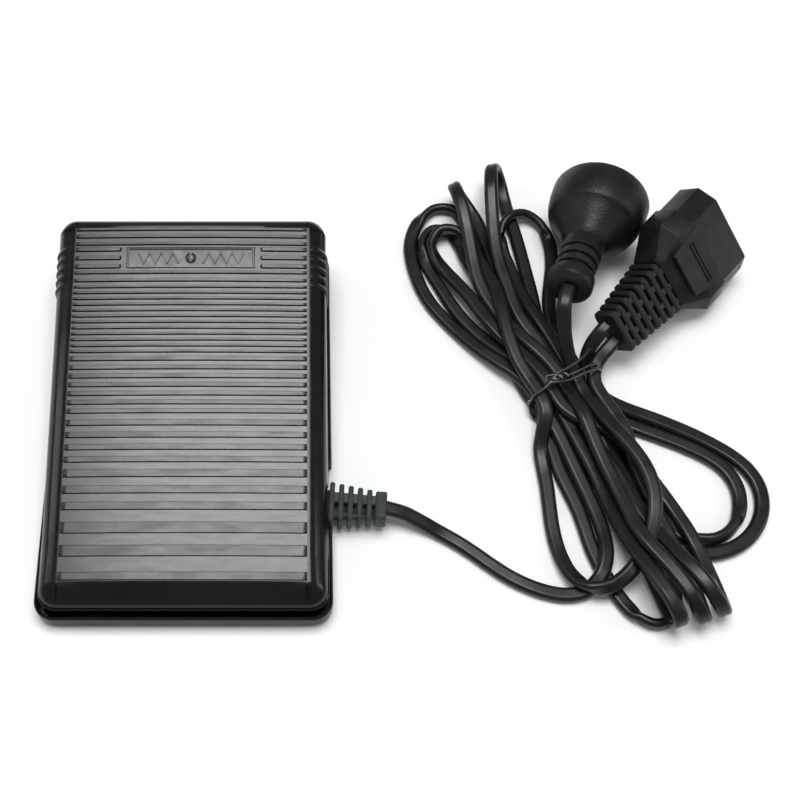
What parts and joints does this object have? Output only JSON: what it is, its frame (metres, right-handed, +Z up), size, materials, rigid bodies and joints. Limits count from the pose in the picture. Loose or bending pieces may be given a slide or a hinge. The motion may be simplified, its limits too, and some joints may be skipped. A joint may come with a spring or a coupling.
{
  "type": "sewing machine foot pedal",
  "caption": "Wedge-shaped foot pedal that tips on a heel hinge to set a sewing machine's speed, with leads, a round mains plug and a machine connector tied in a bundle.",
  "frame": {"origin": "on the ground under the middle of the base tray, the leads and what is on them left out", "axes": "+X across the pedal towards the side where the lead leaves, +Y along the pedal towards its high toe end, +Z up"},
  "size_m": [0.2931, 0.221, 0.0432],
  "materials": {
    "gloss_black": "gloss",
    "plate_black": "satin",
    "black_steel": "satin",
    "foot_rubber": "matte",
    "bright_steel": "satin",
    "fish_paper": "matte",
    "board_laminate": "satin",
    "cream_plastic": "satin",
    "carbon_track": "matte",
    "contact_brass": "satin",
    "device_black": "matte",
    "sink_aluminium": "satin",
    "capacitor_red": "gloss",
    "ferrite": "matte",
    "copper_wire": "gloss",
    "resistor_tan": "satin",
    "trimmer_blue": "satin",
    "clamp_plastic": "satin",
    "core_insulation": "satin",
    "relief_rubber": "matte",
    "lead_sheath": "satin",
    "moulded_black": "satin",
    "plated_blades": "satin"
  },
  "bodies": {
    "base": {"base_tray": "gloss_black", "rubber_feet": "foot_rubber", "hinge_pin": "bright_steel", "return_springs": "bright_steel", "stop_buffers": "foot_rubber", "insulating_sheet": "fish_paper", "circuit_board": "board_laminate", "board_screws": "bright_steel", "control_housing": "cream_plastic", "resistor_track": "carbon_track", "triac": "device_black", "heat_sink": "sink_aluminium", "capacitor": "capacitor_red", "choke_core": "ferrite", "choke_winding": "copper_wire", "fixed_resistors": "resistor_tan", "trim_resistor": "trimmer_blue", "terminal_block": "cream_plastic", "terminal_screws": "contact_brass", "cord_clamp": "clamp_plastic", "clamp_screws": "bright_steel", "core_wires": "core_insulation", "strain_relief": "relief_rubber", "pedal_lead": "lead_sheath", "mains_lead": "lead_sheath", "lead_bundle": "lead_sheath", "twist_tie": "black_steel", "mains_plug": "moulded_black", "plug_blades": "plated_blades", "connector_body": "moulded_black", "connector_boot": "moulded_black", "connector_sockets": "contact_brass"},
    "treadle": {"treadle_cover": "gloss_black", "name_plate": "plate_black", "plate_screw": "black_steel"},
    "speed_plunger": {"plunger": "cream_plastic", "wiper_contact": "contact_brass"}
  },
  "joints": [
    {"name": "treadle_press", "type": "hinge", "parent": "base", "child": "treadle", "pos_m": [0, -0.066, 0.011], "axis": [-1, 0, 0], "range_deg": [0, 4.3], "stiffness_Nm_per_rad": 20, "springref_deg": -3.44, "deforming": ["return_springs"]},
    {"name": "plunger_slide", "type": "slide", "parent": "base", "child": "speed_plunger", "axis": [0, 0, -1], "range_m": [0, 0.0064]}
  ],
  "couplings": [
    {"joint": "plunger_slide", "follows": "treadle_press", "m_per_rad": 0.084}
  ]
}
